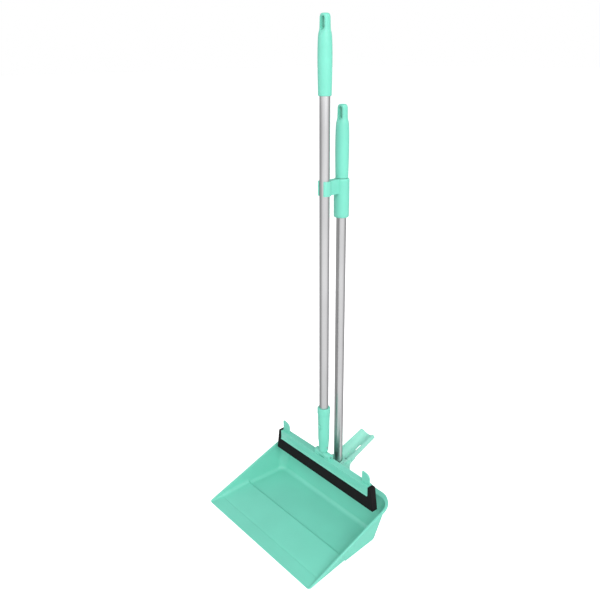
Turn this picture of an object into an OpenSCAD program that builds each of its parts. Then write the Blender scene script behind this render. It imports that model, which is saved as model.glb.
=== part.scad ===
// Upright dust pan with a leaning pole, and a foam-bladed sweeper that clips to it.
// The origin is on the floor under the middle of the pan's bin; +Y points to the
// back of the pan, +X to its right and +Z up the poles.

/* [Pan] */
// Width over the rim
pan_w = 387; // [300:1:460]
// Depth of the flat lip strip
lip_len = 35; // [25:1:45]
// Depth of the ramp behind the lip
ramp_len = 80; // [65:1:95]
// Depth of the bin behind the ramp
bin_len = 118; // [95:1:140]
// Wall thickness of the pan
pan_wall = 2.6; // [2:0.1:3.2]
// Height of the ramp's crest above the floor
ramp_rise = 8.2; // [6:0.1:11]
// Thickness of the lip's front edge
lip_edge = 1.1; // [0.8:0.1:1.6]
// Height of the rim plane above the lip's edge
rim_start = 2.3; // [1.8:0.1:3]
// Slope of the rim plane
rim_angle = 19; // [16:0.5:22]
// Outward lean of the side walls
side_lean = 8.8; // [5:0.1:11]
// Outward lean of the back wall
back_lean = 16; // [10:0.5:18]
// How far the rim stands out beyond the side walls
rim_out = 1.5; // [1:0.1:3]
// How far the back flange stands out beyond the back wall
flange_out = 11; // [9:0.5:16]
// Thickness of the flange
flange_t = 3; // [2:0.1:4]
// Depth of the skirt under the rim's edge
skirt_h = 6.5; // [4:0.5:9]
// Radius of the fillet between floor and walls
floor_fillet = 9; // [4:0.5:12]
// Corner radius at the back of the floor
bin_corner_r = 24; // [16:1:30]

/* [Pole tray] */
// Height of the pole's pivot above the floor
pivot_z = 97.5; // [92:0.5:104]
// How far the tray rises above level, which is where the pole stops when it leans back
tray_angle = 21.5; // [18:0.5:26]
// Length of the tray from the pivot
tray_len = 117.7; // [95:1:140]
// Width of the tray
tray_w = 43; // [38:0.5:50]
// Wall thickness of the tray
tray_wall = 2.8; // [2.2:0.1:3.6]
// Radius of the tray's trough
trough_r = 18.8; // [15:0.1:20]
// Radius of the concave flares at the tray's root
flare_r = 38; // [24:1:44]
// Length of the slot in the tray
slot_len = 23; // [14:1:28]
// Width of the slot in the tray
slot_w = 9; // [6:0.5:11]
// How far the slot stands to the right of the tray's middle
slot_x = 7; // [0:0.5:9]
// Distance of the slot's middle from the pivot
slot_from_pivot = 69; // [55:1:80]

/* [Poles] */
// Outer diameter of both poles
pole_d = 22; // [19:0.5:24]
// Wall thickness of both poles
pole_wall = 1.1; // [0.8:0.1:1.4]
// Distance between the two pole axes
pole_gap = 50.5; // [46:0.5:60]
// Height of the pan pole's grip top above the floor
pan_top_z = 980; // [840:1:1100]
// Height of the sweeper's grip top above the floor
sweeper_top_z = 1150; // [1030:1:1260]
// Diameter of the pivot pin
pivot_pin_d = 5; // [4:0.1:6]
// Running clearance round every hinge pin, on the radius
pin_clear = 0.05; // [0.02:0.01:0.1]

/* [Grips] */
// Length of each grip
grip_len = 152; // [130:1:180]
// Wall of each grip round the pole, at its thickest
grip_wall = 3.8; // [3:0.1:5.5]
// Wall of each grip round the pole, at its open end
grip_end_wall = 2.8; // [2:0.1:4]
// Width of the flattened hanging end
hang_w = 22.5; // [20:0.1:25]
// Thickness of the flattened hanging end
hang_t = 15; // [12:0.5:18]
// Length of the hanging hole
hang_hole_len = 24; // [16:0.5:26]
// Width of the hanging hole
hang_hole_w = 9; // [7:0.5:11]

/* [Clip] */
// Wall of the sleeve round the pan pole
sleeve_wall = 6; // [5:0.1:8]
// Height of the sleeve
sleeve_h = 85; // [60:1:100]
// Height of the clip
clip_h = 31; // [24:1:50]
// Wall thickness of the clip's jaws
jaw_t = 3.2; // [2.6:0.1:4.5]
// Half of the clip's open angle
mouth_half_angle = 43; // [35:1:50]
// Clearance between clip and sweeper pole, on the radius
clip_clear = 0.05; // [0.02:0.01:0.1]

/* [Sweeper socket] */
// Height of the socket's top above the floor
socket_top_z = 279; // [255:1:300]
// Wall of the socket's collar round the pole
collar_wall = 4.7; // [3.5:0.1:6]
// Wall of the socket round the pole, at its waist
socket_wall = 2.8; // [2:0.1:3.4]
// Height of the snap button above the floor
button_z = 229; // [215:1:240]
// Width of the snap button
button_w = 7; // [5:0.5:8]
// Height of the snap button
button_h = 12; // [9:0.5:14]

/* [Sweeper head] */
// How much shorter the clamp body is than the pan is wide
head_short = 71; // [50:1:120]
// Depth of the clamp body, front to back
head_depth = 17; // [15:0.5:22]
// Height of the head's top face above the floor
head_top_z = 140; // [136:0.5:148]
// Height of the clamp body
head_h = 25.5; // [22:0.5:31]
// Wall thickness of the clamp body
head_wall = 2.8; // [2.2:0.1:3.4]
// How far each end of the blade stands out beyond the clamp body
blade_over = 19; // [8:0.5:24]
// How much each end of the blade leans in towards its top
blade_taper = 9; // [4:0.5:12]
// How far the blade reaches below the clamp body
blade_drop = 35.5; // [25:0.5:40]
// Depth of the blade, front to back
blade_t = 16; // [13:0.5:20]
// Diameter of the hinge knuckles
knuckle_d = 16; // [14:0.5:18]
// Diameter of the hinge pin
hinge_pin_d = 4; // [3:0.1:5]
// Width of the socket's own knuckle
knuckle_w = 18; // [14:0.5:22]
// Height of the cloth hooks above the head
hook_h = 29; // [14:1:32]
// Width of the cloth hooks
hook_w = 24; // [14:1:28]

/* [Hidden] */

$fn = 64;
mint = [0.44, 0.87, 0.76];
silver = [0.78, 0.79, 0.80];
black = [0.10, 0.10, 0.11];
steel = [0.62, 0.63, 0.65];
eps = 0.01;
far = 1000;

// Pan: the rim lies in one plane that rises from the lip
lip_y = -(lip_len + ramp_len + bin_len / 2);
crease_y = lip_y + lip_len;
crest_y = crease_y + ramp_len;
bin_back = bin_len / 2;
rim_slope = tan(rim_angle);
rim_half = pan_w / 2;
wall_half = rim_half - rim_out;
// Inner edge of the rim's band, buried in the wall
rim_inner = wall_half - pan_wall + 0.3;
// Square lands at the tub's base and top
base_land = 0.4;
rim_land = 0.8;
lip_corner_r = 6;
lip_top = pan_wall + 0.3;
step_len = 6;
function rim_z(y) = rim_start + (y - lip_y) * rim_slope;
function side_half(y, z) = wall_half - tan(side_lean) * (rim_z(y) - z);
// Where the leaning back wall meets the rim plane
wall_top_y = (bin_back + tan(back_lean) * (rim_start - lip_y * rim_slope))
             / (1 - tan(back_lean) * rim_slope);
function along_rim(y) = (y - lip_y) / cos(rim_angle);
function norm_leg(long, leg) = sqrt(long * long - leg * leg);
wall_v = along_rim(wall_top_y);
flange_v = wall_v + flange_out;
rim_corner_r = 28;
flange_corner_r = 38;

// Poles: the pan pole stands just behind the back wall and leans about its pivot
pole_r = pole_d / 2;
bore_r = pole_r - pole_wall;
foot_drop = 7;
swing_gap = 0.6;
foot_reach = norm([pole_r, foot_drop]);
pole_y = wall_top_y + pole_r + 1.4;
sweeper_y = pole_y - pole_gap;
lean_max = 90 - tray_angle;
well_r = foot_reach + swing_gap;
well_half = pole_r + 1.3;
tray_clear = 0.3;
tray_half = tray_w / 2;
trough_floor = -(pole_r + tray_clear);
tray_bottom = trough_floor - tray_wall;
trough_axis = trough_floor + trough_r;
trough_start = 14;
tray_top_root = 7.5;
tray_top_end = 1.2;
tray_root = 26;
// The cheeks stand back a little from the tray's sides
cheek_step = 0.3;
pivot_pin_r = pivot_pin_d / 2;
pin_head_r = 4.4;
pin_head_t = 2.4;
pin_reach = tray_half - 3.2;

// Grips and the clip
grip_d = pole_d + 2 * grip_wall;
grip_end_d = pole_d + 2 * grip_end_wall;
sleeve_d = pole_d + 2 * sleeve_wall;
tube_in_grip = 26;
grip_wall_fit = 0.05;
shoulder = 34;
sleeve_top_z = pan_top_z - grip_len - 0.6;
sleeve_r = sleeve_d / 2;
clip_in_r = pole_r + clip_clear;
clip_out_r = clip_in_r + jaw_t;
arm_w = 15;
sleeve_screw_r = 1.8;

// Socket and hinge
socket_d = pole_d + 2 * collar_wall;
socket_waist_d = pole_d + 2 * socket_wall;
socket_bottom_z = 158;
hinge_z = head_top_z + knuckle_d / 2 - 1.6;
hinge_pin_r = hinge_pin_d / 2;
knuckle_gap = 0.4;
side_knuckle_w = 16;
neck_pin_z = socket_bottom_z + 11;
neck_pin_r = 2;
neck_r = 9.4;
// Thin enough to stay above the head's top face when the head tilts
neck_slab = 2 * (hinge_z - head_top_z - 0.4);
tube_stop_z = socket_bottom_z + 26;
button_proud = 1.6;
button_travel = 3;

// Head and blade
head_len = pan_w - head_short;
head_half = head_len / 2;
head_front = sweeper_y - head_depth / 2;
head_back = sweeper_y + head_depth / 2;
head_bottom_z = head_top_z - head_h;
plate_t = 3;
tongue_t = head_depth - head_wall - plate_t - 0.4;
tongue_y = head_front + head_wall + 0.2;
blade_bottom_z = head_bottom_z - blade_drop;
blade_end_top_z = head_top_z - 1;
blade_half = head_half + blade_over;
head_screw_r = 1.6;
head_screw_step = (head_half - 38) / 2;
head_screw_x = head_screw_step * [-2, -1, 0, 1, 2];

// ---- helpers ---------------------------------------------------------------

// The rim plane: x across, y along the slope from the lip, z square to the rim
module rim_plane() {
    translate([0, lip_y, rim_start])
        rotate([rim_angle, 0, 0])
            children();
}

// The tray: y runs along the leaned pole's axis from the pivot
module tray_frame() {
    translate([0, pole_y, pivot_z])
        rotate([tray_angle, 0, 0])
            children();
}

// An outline with square front corners at y = front and round back corners
module tub_outline(half, front, back, r) {
    translate([-half, front])
        square([2 * half, back - r - front]);
    translate([-(half - r), back - r - eps])
        square([2 * (half - r), r + eps]);
    for (side = [-1, 1])
        translate([side * (half - r), back - r])
            circle(r = r, $fn = 96);
}

// The corners of the floor's outline at a height z, moved in by inset and cut off at
// front; a hull joins them
module floor_outline(z, inset, front) {
    back = bin_back + z * tan(back_lean) - inset;
    corner_y = back - bin_corner_r + inset;
    half_back = side_half(corner_y, z) - inset;
    half_front = side_half(front, z) - inset;
    r = bin_corner_r - inset;
    front_r = front > lip_y - 1 ? lip_corner_r : 1;
    for (side = [-1, 1]) {
        translate([side * (half_back - r), corner_y])
            circle(r = r, $fn = 48);
        translate([side * (half_front - front_r), front + front_r])
            circle(r = front_r, $fn = 24);
    }
}

// A prism across the whole pan from a profile of [y, z] points
module across(points, half = 260) {
    translate([-half, 0, 0])
        rotate([90, 0, 90])
            linear_extrude(2 * half)
                polygon(points);
}

// A pin or hole along X about its own middle
module along_x(r, len) {
    rotate([0, 90, 0])
        cylinder(r = r, h = len, center = true);
}

// A slot's outline, with round ends, along Y
module slot_outline(len, width) {
    square([width, len - width], center = true);
    for (side = [-1, 1])
        translate([0, side * (len - width) / 2])
            circle(d = width);
}

// ---- pan -------------------------------------------------------------------

module pan_outer() {
    hull() {
        linear_extrude(base_land)
            floor_outline(0, 0, lip_y);
        rim_plane()
            translate([0, 0, -rim_land])
                linear_extrude(rim_land)
                    tub_outline(wall_half, 1, wall_v, rim_corner_r);
    }
}

// Space between the walls, with the fillet round the floor as a stack of rising
// outlines; it runs on below the floor, whose own profile closes it
module pan_hollow() {
    steps = 4;
    hull() {
        translate([0, 0, -1])
            linear_extrude(pan_wall + 1)
                floor_outline(pan_wall, pan_wall + floor_fillet, lip_y - 15);
        for (i = [1:steps]) {
            rise = floor_fillet * (1 - cos(i * 90 / steps));
            inset = pan_wall + floor_fillet * (1 - sin(i * 90 / steps));
            translate([0, 0, pan_wall + rise])
                linear_extrude(base_land)
                    floor_outline(pan_wall + rise, inset, lip_y - 15);
        }
        rim_plane()
            translate([0, 0, -rim_land])
                linear_extrude(6)
                    tub_outline(wall_half - pan_wall, -15, wall_v - pan_wall,
                                rim_corner_r - pan_wall);
    }
}

ramp_under = [[crease_y, 0.4], [crest_y - 1.5, ramp_rise - pan_wall], [crest_y + step_len - 2.4, 0]];

// Space under the ramp, right across the pan
module ramp_recess() {
    across([[crease_y - 14, -1], [crease_y - 14, 0], ramp_under[0], ramp_under[1],
            ramp_under[2], [ramp_under[2].x, -1]]);
}

// Everything under the floor's top: the lip strip, the ramp, the step down and the bin
module under_floor() {
    across([[lip_y - 20, -2], [lip_y - 20, lip_edge], [lip_y, lip_edge], [crease_y, lip_top],
            [crest_y, ramp_rise], [crest_y + 2, ramp_rise - 0.3],
            [crest_y + step_len, pan_wall], [bin_back + 30, pan_wall], [bin_back + 30, -2]]);
}

module tub() {
    difference() {
        pan_outer();
        difference() {
            pan_hollow();
            under_floor();
        }
        ramp_recess();
    }
}

module pan_rim() {
    intersection() {
        rim_plane() {
            difference() {
                translate([0, 0, -flange_t])
                    linear_extrude(flange_t)
                        tub_outline(rim_half, 4, flange_v, flange_corner_r);
                translate([0, 0, -flange_t - 1])
                    linear_extrude(flange_t + 2)
                        tub_outline(rim_inner, -5, rim_inner + wall_v - wall_half,
                                    rim_corner_r + rim_inner - wall_half);
            }
            difference() {
                translate([0, 0, -skirt_h])
                    linear_extrude(skirt_h)
                        tub_outline(rim_half, 4, flange_v, flange_corner_r);
                translate([0, 0, -skirt_h - 1])
                    linear_extrude(skirt_h + 2)
                        tub_outline(rim_half - 2, -5, flange_v - 2, flange_corner_r - 2);
            }
        }
        translate([-far / 2, -far / 2, 0])
            cube([far, far, far]);
    }
}

// Concave flares that carry the flange into the tray's sides
module tray_flare() {
    root_v = flange_v - 2;
    bite = 0.4;
    module flare_outline(grow) {
        difference() {
            translate([-(tray_half + flare_r), root_v])
                square([2 * (tray_half + flare_r), flare_r + 2]);
            for (side = [-1, 1])
                translate([side * (tray_half + flare_r - bite), flange_v + flare_r - bite])
                    circle(r = flare_r + grow, $fn = 96);
        }
    }
    rim_plane() {
        translate([0, 0, -flange_t])
            linear_extrude(flange_t)
                flare_outline(0);
        translate([0, 0, -skirt_h - 3])
            linear_extrude(skirt_h + 3)
                difference() {
                    flare_outline(0);
                    flare_outline(2.2);
                }
    }
}

// Solid of the tray before its trough is cut
module tray_body() {
    r = 4;
    w_bottom = tray_bottom;
    tray_frame()
        difference() {
            translate([0, tray_len, 0])
                rotate([90, 0, 0])
                    linear_extrude(tray_len - 6) {
                        translate([-tray_half, w_bottom + r])
                            square([tray_w, 10 - w_bottom - r]);
                        translate([-tray_half + r, w_bottom])
                            square([tray_w - 2 * r, r + 1]);
                        for (side = [-1, 1])
                            translate([side * (tray_half - r), w_bottom + r])
                                circle(r = r);
                    }
            translate([0, 0, tray_top_root])
                rotate([-atan((tray_top_root - tray_top_end) / tray_len), 0, 0])
                    translate([-far / 2, -far / 2, 0])
                        cube([far, far, 60]);
        }
}

// Cheeks and floor that hold the pivot against the back wall
module tray_root() {
    back = tray_root * [cos(tray_angle), sin(tray_angle)];
    under = -tray_bottom * [sin(tray_angle), -cos(tray_angle)];
    translate([0, pole_y, pivot_z])
        across([[wall_top_y - pole_y - 6, -26], [wall_top_y - pole_y - 1.4, -8],
                [wall_top_y - pole_y - 0.6, 3], [wall_top_y - pole_y + 3, 6.6],
                [-3, tray_top_root], [back.x - 3, back.y + tray_top_root - 0.5],
                [back.x + under.x + 12, back.y + under.y + 4.4], [4, -well_r - tray_wall],
                [-8, -well_r - tray_wall - 3]], half = tray_half - cheek_step);
}

// Room for the pole at every lean from upright to lying in the tray: a round well, a
// straight-sided room above it and a channel that leads into the trough
module pole_sweep() {
    ledge = norm_leg(trough_r, well_half) - trough_axis - 0.5;
    low = ledge * [sin(tray_angle), -cos(tray_angle)];
    high = low + (trough_start + 2.5) * [cos(tray_angle), sin(tray_angle)];
    translate([0, pole_y, pivot_z]) {
        along_x(well_r, 2 * well_half);
        across([[-pole_r - 0.9, -2], [-pole_r - 0.9, 45], [45, 45], high, low],
               half = well_half);
    }
    tray_frame()
        rotate([-90, 0, 0])
            cylinder(r = pole_r + 2 * tray_clear, h = trough_start + 4, $fn = 96);
}

module pan_shell() {
    color(mint)
        difference() {
            union() {
                tub();
                pan_rim();
                tray_flare();
                tray_body();
                tray_root();
            }
            pole_sweep();
            tray_frame() {
                translate([0, tray_len + 5, trough_axis])
                    rotate([90, 0, 0])
                        cylinder(r = trough_r, h = tray_len + 5 - trough_start, $fn = 96);
                translate([slot_x, slot_from_pivot, tray_bottom - 10])
                    linear_extrude(24)
                        slot_outline(slot_len, slot_w);
            }
            // Pivot hole: through the left cheek, blind in the right one
            translate([0, pole_y, pivot_z]) {
                translate([-tray_half / 2 - 0.6, 0, 0])
                    along_x(pivot_pin_r, tray_half + 3);
                translate([pin_reach / 2, 0, 0])
                    along_x(pivot_pin_r, pin_reach);
                translate([-tray_half, 0, 0])
                    along_x(pin_head_r + 0.2, 2 * pin_head_t);
            }
        }
}

module pivot_pin() {
    color(steel)
        translate([0, pole_y, pivot_z])
            rotate([0, 90, 0]) {
                translate([0, 0, -tray_half + 0.4])
                    cylinder(r = pivot_pin_r, h = tray_half - 0.4 + pin_reach - 0.3);
                translate([0, 0, -tray_half + 0.4])
                    cylinder(r = pin_head_r, h = pin_head_t - 0.4);
            }
}

// ---- pan pole --------------------------------------------------------------

module tube(bottom, top) {
    translate([0, 0, bottom])
        difference() {
            cylinder(r = pole_r, h = top - bottom, $fn = 96);
            translate([0, 0, -1])
                cylinder(r = bore_r, h = top - bottom + 2, $fn = 96);
        }
}

module pan_pole_tube() {
    color(silver)
        translate([0, pole_y, 0])
            difference() {
                tube(pivot_z - foot_drop, pan_top_z - shoulder - tube_in_grip);
                translate([0, 0, pivot_z])
                    along_x(pivot_pin_r + pin_clear, 2 * pole_d);
                // Pilot hole for the sleeve's screw
                translate([0, pole_r, sleeve_top_z - sleeve_h / 2])
                    rotate([90, 0, 0])
                        cylinder(r = sleeve_screw_r, h = pole_r);
            }
}

// Plug in the pole's lower end, rounded about the pivot
module pole_foot() {
    plug_r = bore_r - grip_wall_fit;
    color(mint)
        translate([0, pole_y, pivot_z])
            difference() {
                rotate_extrude($fn = 96)
                    polygon([[0, 30], [plug_r, 30], [plug_r, -foot_drop],
                             [pole_r, -foot_drop], [pole_r - 1.4, -foot_drop - 1.8],
                             [pole_r * 0.545, -foot_reach + 2], [0, -foot_reach]]);
                along_x(pivot_pin_r + pin_clear, 2 * pole_d);
            }
}

// A tapered grip with a flattened end and a hanging hole that faces front and back
module grip(z_end) {
    r_end = grip_end_d / 2;
    r_max = grip_d / 2;
    r_hang = hang_w / 2;
    shoulder_z = grip_len - shoulder;
    difference() {
        translate([0, 0, z_end])
            rotate_extrude($fn = 96)
                polygon([[0, 0], [r_end - 1, 0], [r_end, 1],
                         [r_end + (r_max - r_end) * 0.55, grip_len * 0.17],
                         [r_max, grip_len * 0.38], [r_max, grip_len * 0.52],
                         [r_max - 0.5, grip_len * 0.66], [r_max - 1.3, shoulder_z - 5],
                         [r_max - 2.2, shoulder_z], [r_hang + 0.2, shoulder_z + 4],
                         [r_hang, shoulder_z + 10], [r_hang - 0.4, grip_len - 6],
                         [r_hang - 2.2, grip_len - 1.6], [r_hang - 5, grip_len],
                         [0, grip_len]]);
        // Flats, front and back, above the shoulder
        for (side = [-1, 1])
            translate([0, side * (hang_t / 2 + 20), z_end + shoulder_z + 6 + 30])
                cube([60, 40, 60], center = true);
        // Hanging hole
        translate([0, 0, z_end + grip_len - 5 - hang_hole_len / 2])
            rotate([90, 0, 0])
                linear_extrude(60, center = true)
                    slot_outline(hang_hole_len, hang_hole_w);
        // Blind socket for the pole
        translate([0, 0, z_end - 1])
            cylinder(r = pole_r + grip_wall_fit, h = shoulder_z - tube_in_grip + 1 + 0.5,
                     $fn = 96);
    }
}

module pan_grip() {
    color(mint)
        translate([0, pole_y, 0])
            grip(pan_top_z - grip_len);
}

// Sleeve on the pan pole, with the arm and jaws that hold the sweeper's pole
module clip_sleeve() {
    bottom = sleeve_top_z - sleeve_h;
    mouth = clip_out_r * 2;
    color(mint)
        difference() {
            union() {
                translate([0, pole_y, bottom])
                    rotate_extrude($fn = 96)
                        polygon([[pole_r + grip_wall_fit, 0], [sleeve_r - 2.2, 0],
                                 [sleeve_r - 0.8, 1], [sleeve_r - 0.3, 3],
                                 [sleeve_r, sleeve_h * 0.5],
                                 [sleeve_r - 0.3, sleeve_h - 3],
                                 [sleeve_r - 1, sleeve_h - 1],
                                 [sleeve_r - 2.2, sleeve_h],
                                 [pole_r + grip_wall_fit, sleeve_h]]);
                translate([-arm_w / 2, sweeper_y + clip_in_r + 1, sleeve_top_z - clip_h])
                    cube([arm_w, pole_gap - clip_in_r - pole_r - 2, clip_h]);
                translate([0, sweeper_y, sleeve_top_z - clip_h])
                    difference() {
                        cylinder(r = clip_out_r, h = clip_h, $fn = 96);
                        // Mouth between the jaws, towards the front
                        translate([0, 0, -1])
                            linear_extrude(clip_h + 2)
                                polygon([[0, 0],
                                         mouth * [sin(mouth_half_angle), -cos(mouth_half_angle)],
                                         [mouth, -mouth * 2], [-mouth, -mouth * 2],
                                         mouth * [-sin(mouth_half_angle),
                                                  -cos(mouth_half_angle)]]);
                    }
                // Rounded jaw tips
                for (side = [-1, 1])
                    translate([side * (clip_in_r + jaw_t / 2) * sin(mouth_half_angle),
                               sweeper_y - (clip_in_r + jaw_t / 2) * cos(mouth_half_angle),
                               sleeve_top_z - clip_h])
                        cylinder(r = jaw_t / 2, h = clip_h, $fn = 32);
            }
            translate([0, sweeper_y, sleeve_top_z - clip_h - 1])
                cylinder(r = clip_in_r, h = clip_h + 2, $fn = 96);
            // Countersunk hole for the sleeve's screw, at the back
            translate([0, pole_y + sleeve_r + 0.1, sleeve_top_z - sleeve_h / 2])
                rotate([90, 0, 0]) {
                    cylinder(r = sleeve_screw_r + 0.2, h = sleeve_r);
                    cylinder(r = 3.4, h = 2.2);
                }
        }
}

module pan_head_screw(r, head_r, head_t, len) {
    cylinder(r = r, h = len, $fn = 32);
    difference() {
        translate([0, 0, len])
            cylinder(r = head_r, h = head_t, $fn = 48);
        for (turn = [0, 90])
            translate([0, 0, len + head_t])
                rotate([0, 0, turn])
                    cube([head_r * 1.3, 0.8, head_t], center = true);
    }
}

module sleeve_screw() {
    head_seat = 2.1;
    len = sleeve_r - head_seat - bore_r + 1.5;
    color(steel)
        translate([0, pole_y + sleeve_r - head_seat - len, sleeve_top_z - sleeve_h / 2])
            rotate([-90, 0, 0])
                pan_head_screw(sleeve_screw_r, 3.1, 1.6, len);
}

// ---- sweeper ---------------------------------------------------------------

module sweeper_tube() {
    color(silver)
        translate([0, sweeper_y, 0])
            difference() {
                tube(tube_stop_z, sweeper_top_z - shoulder - tube_in_grip);
                translate([0, 0, button_z])
                    rotate([90, 0, 0])
                        linear_extrude(pole_d)
                            slot_outline(button_h + 0.6, button_w + 0.6);
            }
}

module sweeper_grip() {
    color(mint)
        translate([0, sweeper_y, 0])
            grip(sweeper_top_z - grip_len);
}

// Tapered socket: flared collar, slim waist and narrow throat over the hinge neck
module sweeper_socket() {
    r_top = socket_d / 2;
    r_waist = socket_waist_d / 2;
    h = socket_top_z - socket_bottom_z;
    color(mint)
        translate([0, sweeper_y, 0])
            difference() {
                translate([0, 0, socket_bottom_z])
                    rotate_extrude($fn = 96)
                        polygon([[0, 0], [neck_r + 1.6, 0], [neck_r + 2.2, 0.8],
                                 [r_waist - 1.2, 22], [r_waist, 34], [r_waist + 0.4, h - 40],
                                 [r_waist + 0.9, h - 22], [r_top - 1, h - 18],
                                 [r_top, h - 14], [r_top, h - 2], [r_top - 1, h], [0, h]]);
                translate([0, 0, tube_stop_z])
                    cylinder(r = pole_r + grip_wall_fit, h = h, $fn = 96);
                translate([0, 0, socket_bottom_z - 1])
                    cylinder(r = neck_r - 1.6, h = 21, $fn = 64);
                translate([0, 0, button_z])
                    rotate([90, 0, 0])
                        linear_extrude(pole_d)
                            slot_outline(button_h + 0.6, button_w + 0.6);
                translate([0, 0, neck_pin_z])
                    along_x(neck_pin_r, 60);
            }
}

// Sprung button that locks the socket to the pole
module snap_button() {
    r_out = socket_waist_d / 2 + 0.6 + button_proud;
    color(mint)
        translate([0, sweeper_y, button_z])
            difference() {
                rotate([90, 0, 0])
                    translate([0, 0, bore_r - 2.4])
                        linear_extrude(r_out - bore_r + 2.4)
                            slot_outline(button_h, button_w);
                // Sloped upper half, so that it rides in under the socket's collar
                translate([-10, -r_out - 10, 1])
                    rotate([-12, 0, 0])
                        cube([20, 10, 20]);
            }
}

// Leaf spring inside the pole: a bent strip that pushes the button out
module button_spring() {
    strip = 0.6;
    leg = 34;
    front = -(bore_r - 2.6);
    back = bore_r - 0.5;
    color(steel)
        translate([-button_w / 2 + 0.5, sweeper_y, button_z - 6])
            rotate([90, 0, 90])
                linear_extrude(button_w - 1)
                    polygon([[front, 0], [front + strip, 0], [front + strip, 12],
                             [back - strip - 2, leg - 2], [back - strip, leg - 4],
                             [back - strip, 0], [back, 0], [back, leg - 3],
                             [back - 2, leg], [back - 3.4, leg], [front, 14]]);
}

// Neck plug with the middle knuckle of the tilting hinge
module hinge_neck() {
    plug_r = neck_r - 1.6 - 0.05;
    color(mint)
        translate([0, sweeper_y, 0])
            difference() {
                union() {
                    translate([0, 0, socket_bottom_z])
                        cylinder(r = plug_r, h = 19);
                    intersection() {
                        translate([0, 0, hinge_z])
                            cylinder(r = neck_r, h = socket_bottom_z - hinge_z);
                        translate([-knuckle_w / 2, -neck_slab / 2, hinge_z])
                            cube([knuckle_w, neck_slab, 40]);
                    }
                    translate([0, 0, hinge_z])
                        along_x(knuckle_d / 2, knuckle_w);
                }
                translate([0, 0, hinge_z])
                    along_x(hinge_pin_r + pin_clear, knuckle_w + 2);
                translate([0, 0, neck_pin_z])
                    along_x(neck_pin_r, 60);
            }
}

// Rivet that locks the neck in the socket
module neck_pin() {
    color(steel)
        translate([0, sweeper_y, neck_pin_z])
            along_x(neck_pin_r, 2 * (neck_r + 3.2));
}

// Cloth hook: an upright tab with a sharp left corner and a round right shoulder
module cloth_hook() {
    w = hook_w / 2;
    rotate([90, 0, 0])
        linear_extrude(3, center = true)
            polygon([[-w, 0], [-w, hook_h - 1], [-w + 2, hook_h], [w - 9, hook_h - 2],
                     [w - 3, hook_h - 5], [w, hook_h - 11], [w, 0]]);
}

// Front half of the clamp, with the top face, end caps, side knuckles and hooks
module head_shell() {
    side_x = knuckle_w / 2 + knuckle_gap + side_knuckle_w / 2;
    color(mint)
        difference() {
            union() {
                difference() {
                    translate([-head_half, head_front, head_bottom_z])
                        cube([head_len, head_depth - plate_t, head_h]);
                    // Channel for the blade's tongue
                    translate([-head_half + head_wall, tongue_y - 0.2, head_bottom_z - 1])
                        cube([head_len - 2 * head_wall, head_depth, head_h - head_wall + 1]);
                }
                // Ledge along the lower front edge
                translate([-head_half, head_front - 1.4, head_bottom_z])
                    cube([head_len, 1.5, 2.6]);
                // Raised bead along the upper front edge
                translate([-head_half, head_front - 0.6, head_top_z - 2.4])
                    cube([head_len, 1, 2.4]);
                for (side = [-1, 1]) {
                    translate([side * side_x, sweeper_y, hinge_z])
                        along_x(knuckle_d / 2, side_knuckle_w);
                    translate([side * side_x - side_knuckle_w / 2, sweeper_y - knuckle_d / 2,
                               head_top_z - 1])
                        cube([side_knuckle_w, knuckle_d - 2.6, hinge_z - head_top_z + 1]);
                    translate([side * (head_half - hook_w / 2 - 1), head_front + 9,
                               head_top_z - 0.5])
                        cloth_hook();
                }
            }
            // Room for the middle knuckle
            translate([0, sweeper_y, hinge_z])
                along_x(knuckle_d / 2 + 0.4, knuckle_w + 2 * knuckle_gap);
            // Hinge pin hole, blind at the left end
            translate([2, sweeper_y, hinge_z])
                along_x(hinge_pin_r, 2 * side_x + side_knuckle_w - 2);
            // Shallow oval recess in the front face
            translate([0, head_front + 0.7, head_bottom_z + head_h * 0.52])
                rotate([90, 0, 0])
                    linear_extrude(2)
                        rotate([0, 0, 90])
                            slot_outline(head_len * 0.86, head_h * 0.4);
        }
}

// Back half of the clamp
module head_back_plate() {
    color(mint)
        difference() {
            translate([-head_half, head_back - plate_t, head_bottom_z])
                cube([head_len, plate_t, head_h]);
            for (x = head_screw_x)
                translate([x, head_back + 1, head_bottom_z + head_h / 2])
                    rotate([90, 0, 0])
                        cylinder(r = head_screw_r + 0.1, h = plate_t + 2);
            // Arc that lets the middle knuckle turn
            translate([0, sweeper_y, hinge_z])
                along_x(knuckle_d / 2 + 0.4, knuckle_w + 2 * knuckle_gap);
        }
}

module head_screws() {
    len = head_depth - head_wall;
    color(steel)
        for (x = head_screw_x)
            translate([x, head_back - len, head_bottom_z + head_h / 2])
                rotate([-90, 0, 0])
                    pan_head_screw(head_screw_r, 3.2, 1.5, len);
}

module hinge_pin() {
    side_x = knuckle_w / 2 + knuckle_gap + side_knuckle_w / 2;
    reach = side_x + side_knuckle_w / 2;
    color(steel)
        translate([2 + 0.5, sweeper_y, hinge_z])
            along_x(hinge_pin_r, 2 * reach - 3);
}

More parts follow.
